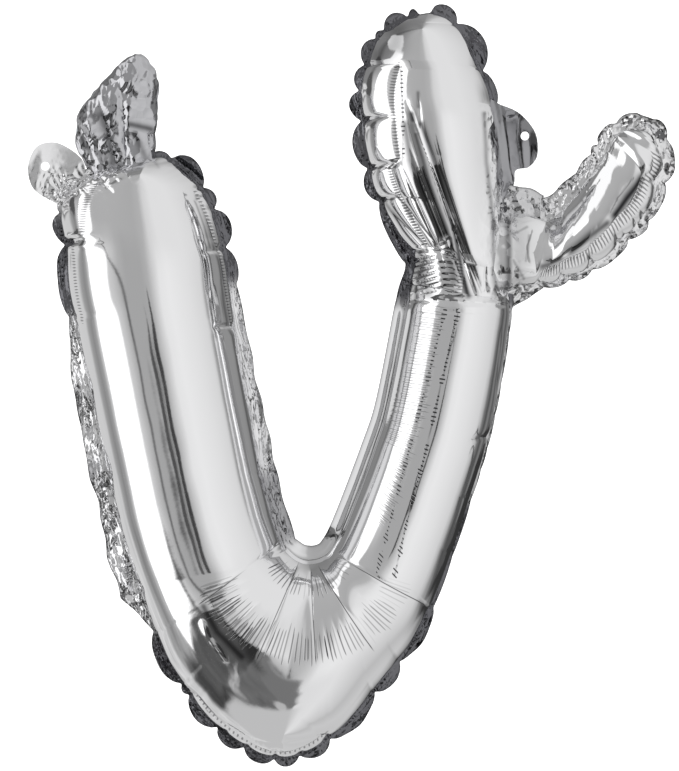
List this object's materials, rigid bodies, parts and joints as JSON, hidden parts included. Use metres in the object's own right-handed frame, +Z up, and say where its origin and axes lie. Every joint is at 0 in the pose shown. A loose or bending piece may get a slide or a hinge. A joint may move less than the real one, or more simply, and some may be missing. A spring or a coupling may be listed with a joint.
{
  "type": "letter foil balloon",
  "caption": "Air-filled silver foil balloon shaped as a script letter, with a scalloped welded margin, a filling neck and punched hang tabs.",
  "frame": {"origin": "half-way between the punched holes of the two hang tabs, in the plane of the welded seam: where a line strung through both holes would hold the balloon", "axes": "+X to the right and +Z up as the letter is read; the front film faces -Y and the seam lies in the plane y = 0"},
  "size_m": [0.306, 0.0772, 0.3628],
  "materials": {
    "silver_film": "mirror-bright metallised film, inflated tight, with fine creases",
    "welded_margin": "metallised film welded in two layers, crinkled",
    "valve_film": "thin clear film",
    "hang_tab": "metallised film in two layers, crinkled, with a punched hole"
  },
  "bodies": {
    "root": {"front_film": "silver_film", "back_film": "silver_film", "seam_margin": "welded_margin", "neck_front_film": "silver_film", "neck_back_film": "silver_film", "valve_sleeve": "valve_film", "hang_tab_left": "hang_tab", "hang_tab_right": "hang_tab"}
  },
  "joints": []
}
